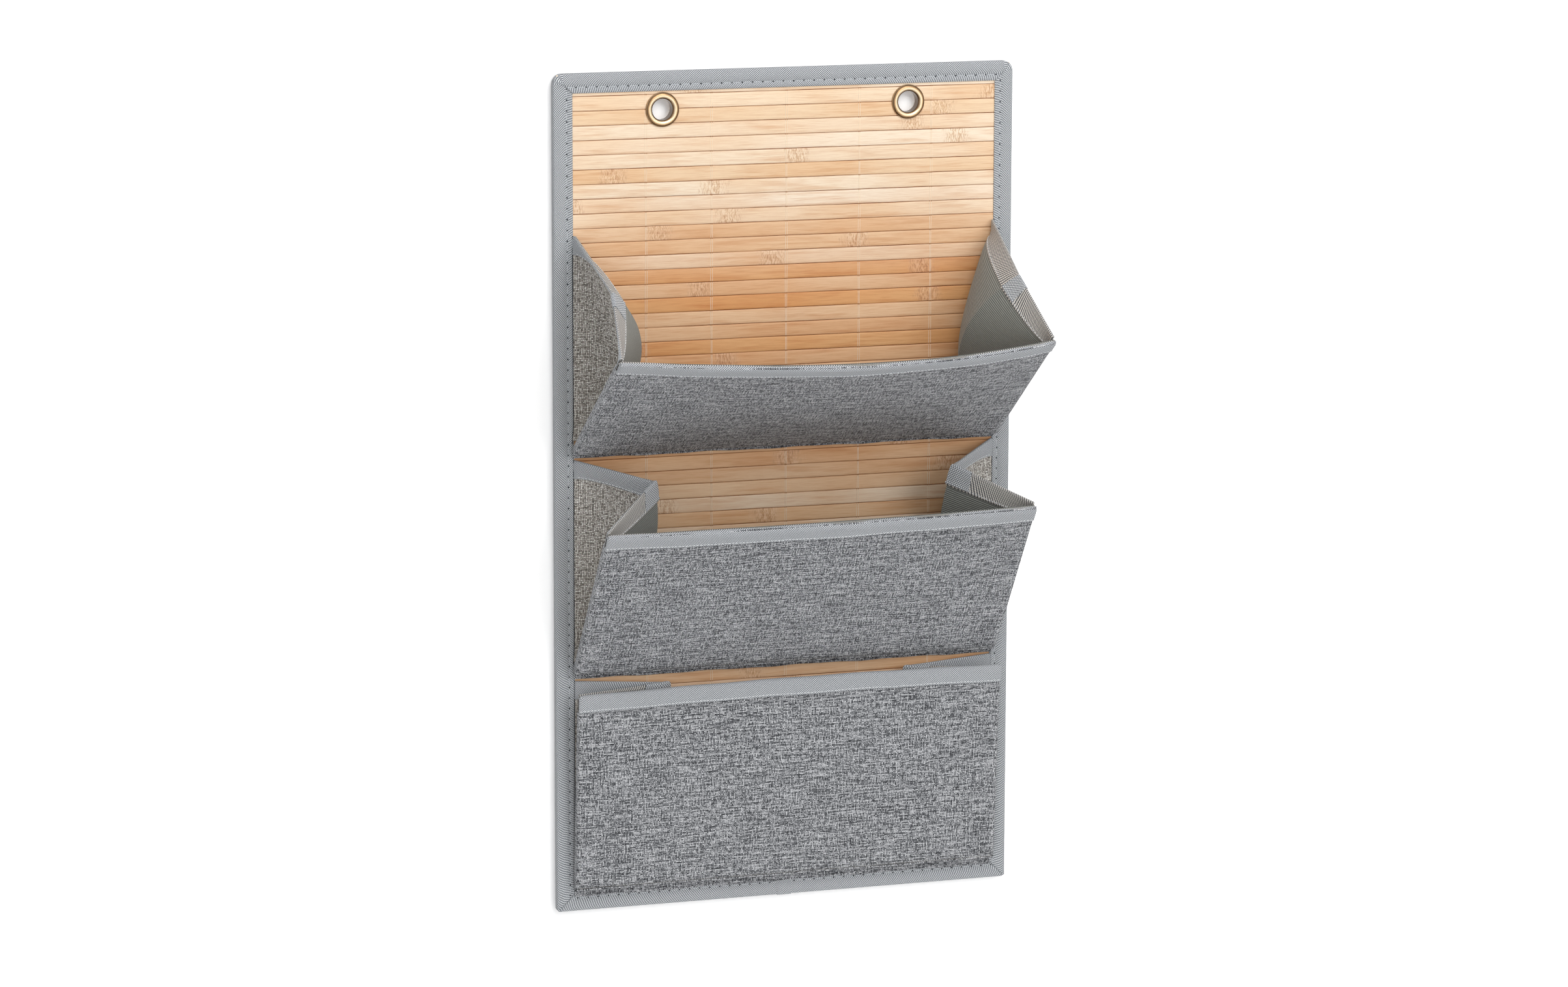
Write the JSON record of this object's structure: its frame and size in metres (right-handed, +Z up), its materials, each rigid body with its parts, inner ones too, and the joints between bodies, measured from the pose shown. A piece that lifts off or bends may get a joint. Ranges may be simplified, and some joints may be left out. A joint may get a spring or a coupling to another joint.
{
  "type": "hanging wall organizer",
  "caption": "Hanging wall organizer with a bamboo-faced back panel, hanging eyelets and hinged fabric pockets whose side gussets fold.",
  "frame": {"origin": "midway between the two eyelets, on the back face of the rear cloth", "axes": "+X to the right seen from the front, +Y into the wall, +Z up; the pockets face -Y"},
  "size_m": [0.341, 0.1283, 0.6005],
  "materials": {
    "fibreboard": "raw fibreboard",
    "rear_cloth": "plain woven cloth",
    "bamboo": "split bamboo slats, satin",
    "woven_tape": "two-tone basket weave tape",
    "antique_brass": "antique brass",
    "melange_cloth": "slubbed grey melange cloth",
    "melange_gusset_cloth": "slubbed grey and tan melange cloth",
    "ribbed_lining": "fine ribbed lining",
    "grey_board": "grey card"
  },
  "bodies": {
    "back_panel": {"backing_board": "fibreboard", "rear_cloth": "rear_cloth", "bamboo_mat": "bamboo", "edge_binding": "woven_tape", "eyelet_left": "antique_brass", "eyelet_right": "antique_brass", "eyelet_washer_left": "antique_brass", "eyelet_washer_right": "antique_brass", "upper_hem_strip": "melange_cloth", "middle_hem_strip": "melange_cloth", "lower_hem_strip": "melange_cloth"},
    "upper_front": {"upper_front_board": "grey_board", "upper_front_cloth": "melange_cloth", "upper_front_lining": "ribbed_lining", "upper_front_rim_tape": "woven_tape"},
    "upper_left_rear_half": {"upper_left_gusset_rear": "melange_gusset_cloth", "upper_left_gusset_rear_tape": "woven_tape"},
    "upper_left_front_half": {"upper_left_gusset_front": "melange_gusset_cloth", "upper_left_gusset_front_tape": "woven_tape", "upper_left_gusset_fold": "melange_gusset_cloth"},
    "upper_right_rear_half": {"upper_right_gusset_rear": "melange_gusset_cloth", "upper_right_gusset_rear_tape": "woven_tape"},
    "upper_right_front_half": {"upper_right_gusset_front": "melange_gusset_cloth", "upper_right_gusset_front_tape": "woven_tape", "upper_right_gusset_fold": "melange_gusset_cloth"},
    "middle_front": {"middle_front_board": "grey_board", "middle_front_cloth": "melange_cloth", "middle_front_lining": "ribbed_lining", "middle_front_rim_tape": "woven_tape"},
    "middle_left_rear_half": {"middle_left_gusset_rear": "melange_gusset_cloth", "middle_left_gusset_rear_tape": "woven_tape"},
    "middle_left_front_half": {"middle_left_gusset_front": "melange_gusset_cloth", "middle_left_gusset_front_tape": "woven_tape", "middle_left_gusset_fold": "melange_gusset_cloth"},
    "middle_right_rear_half": {"middle_right_gusset_rear": "melange_gusset_cloth", "middle_right_gusset_rear_tape": "woven_tape"},
    "middle_right_front_half": {"middle_right_gusset_front": "melange_gusset_cloth", "middle_right_gusset_front_tape": "woven_tape", "middle_right_gusset_fold": "melange_gusset_cloth"},
    "lower_front": {"lower_front_board": "grey_board", "lower_front_cloth": "melange_cloth", "lower_front_lining": "ribbed_lining", "lower_front_rim_tape": "woven_tape"},
    "lower_left_rear_half": {"lower_left_gusset_rear": "melange_gusset_cloth", "lower_left_gusset_rear_tape": "woven_tape"},
    "lower_left_front_half": {"lower_left_gusset_front": "melange_gusset_cloth", "lower_left_gusset_front_tape": "woven_tape", "lower_left_gusset_fold": "melange_gusset_cloth"},
    "lower_right_rear_half": {"lower_right_gusset_rear": "melange_gusset_cloth", "lower_right_gusset_rear_tape": "woven_tape"},
    "lower_right_front_half": {"lower_right_gusset_front": "melange_gusset_cloth", "lower_right_gusset_front_tape": "woven_tape", "lower_right_gusset_fold": "melange_gusset_cloth"}
  },
  "joints": [
    {"name": "upper_front_tilt", "type": "hinge", "parent": "back_panel", "child": "upper_front", "pos_m": [0, -0.0072, -0.2375], "axis": [1, 0, 0], "range_deg": [-48.1, 0]},
    {"name": "upper_left_rear_fold", "type": "hinge", "parent": "back_panel", "child": "upper_left_rear_half", "pos_m": [-0.1581, -0.0072, -0.2375], "axis": [0, 0, 1], "range_deg": [-0.5, 81]},
    {"name": "upper_left_front_fold", "type": "hinge", "parent": "upper_front", "child": "upper_left_front_half", "pos_m": [-0.1581, -0.0072, -0.2375], "axis": [0, 0.7944, -0.6074], "range_deg": [-0.5, 81], "deforming": ["upper_left_gusset_fold", "upper_left_gusset_front_tape"]},
    {"name": "upper_right_rear_fold", "type": "hinge", "parent": "back_panel", "child": "upper_right_rear_half", "pos_m": [0.1581, -0.0072, -0.2375], "axis": [0, 0, -1], "range_deg": [-0.5, 81]},
    {"name": "upper_right_front_fold", "type": "hinge", "parent": "upper_front", "child": "upper_right_front_half", "pos_m": [0.1581, -0.0072, -0.2375], "axis": [0, -0.7944, 0.6074], "range_deg": [-0.5, 81], "deforming": ["upper_right_gusset_fold", "upper_right_gusset_front_tape"]},
    {"name": "middle_front_tilt", "type": "hinge", "parent": "back_panel", "child": "middle_front", "pos_m": [0, -0.0072, -0.3965], "axis": [1, 0, 0], "range_deg": [-31, 17.1]},
    {"name": "middle_left_rear_fold", "type": "hinge", "parent": "back_panel", "child": "middle_left_rear_half", "pos_m": [-0.1581, -0.0072, -0.3965], "axis": [0, 0, 1], "range_deg": [-22.4, 40.2]},
    {"name": "middle_left_front_fold", "type": "hinge", "parent": "middle_front", "child": "middle_left_front_half", "pos_m": [-0.1581, -0.0072, -0.3965], "axis": [0, 0.5807, -0.8141], "range_deg": [-22.4, 40.2], "deforming": ["middle_left_gusset_fold", "middle_left_gusset_front_tape"]},
    {"name": "middle_right_rear_fold", "type": "hinge", "parent": "back_panel", "child": "middle_right_rear_half", "pos_m": [0.1581, -0.0072, -0.3965], "axis": [0, 0, -1], "range_deg": [-22.4, 40.2]},
    {"name": "middle_right_front_fold", "type": "hinge", "parent": "middle_front", "child": "middle_right_front_half", "pos_m": [0.1581, -0.0072, -0.3965], "axis": [0, -0.5807, 0.8141], "range_deg": [-22.4, 40.2], "deforming": ["middle_right_gusset_fold", "middle_right_gusset_front_tape"]},
    {"name": "lower_front_tilt", "type": "hinge", "parent": "back_panel", "child": "lower_front", "pos_m": [0, -0.0072, -0.5555], "axis": [1, 0, 0], "range_deg": [0, 48.1]},
    {"name": "lower_left_rear_fold", "type": "hinge", "parent": "back_panel", "child": "lower_left_rear_half", "pos_m": [-0.1581, -0.0072, -0.5555], "axis": [0, 0, 1], "range_deg": [-70.2, 0.5]},
    {"name": "lower_left_front_fold", "type": "hinge", "parent": "lower_front", "child": "lower_left_front_half", "pos_m": [-0.1581, -0.0072, -0.5555], "axis": [0, 0.0785, -0.9969], "range_deg": [-70.2, 0.5], "deforming": ["lower_left_gusset_fold", "lower_left_gusset_front_tape"]},
    {"name": "lower_right_rear_fold", "type": "hinge", "parent": "back_panel", "child": "lower_right_rear_half", "pos_m": [0.1581, -0.0072, -0.5555], "axis": [0, 0, -1], "range_deg": [-70.2, 0.5]},
    {"name": "lower_right_front_fold", "type": "hinge", "parent": "lower_front", "child": "lower_right_front_half", "pos_m": [0.1581, -0.0072, -0.5555], "axis": [0, -0.0785, 0.9969], "range_deg": [-70.2, 0.5], "deforming": ["lower_right_gusset_fold", "lower_right_gusset_front_tape"]}
  ],
  "couplings": [
    {"joint": "upper_left_rear_fold", "follows": "upper_front_tilt", "ratio": -1.674},
    {"joint": "upper_left_front_fold", "follows": "upper_front_tilt", "ratio": -1.674},
    {"joint": "upper_right_rear_fold", "follows": "upper_front_tilt", "ratio": -1.674},
    {"joint": "upper_right_front_fold", "follows": "upper_front_tilt", "ratio": -1.674},
    {"joint": "middle_left_rear_fold", "follows": "middle_front_tilt", "ratio": -1.28},
    {"joint": "middle_left_front_fold", "follows": "middle_front_tilt", "ratio": -1.28},
    {"joint": "middle_right_rear_fold", "follows": "middle_front_tilt", "ratio": -1.28},
    {"joint": "middle_right_front_fold", "follows": "middle_front_tilt", "ratio": -1.28},
    {"joint": "lower_left_rear_fold", "follows": "lower_front_tilt", "ratio": -1.45},
    {"joint": "lower_left_front_fold", "follows": "lower_front_tilt", "ratio": -1.45},
    {"joint": "lower_right_rear_fold", "follows": "lower_front_tilt", "ratio": -1.45},
    {"joint": "lower_right_front_fold", "follows": "lower_front_tilt", "ratio": -1.45}
  ]
}
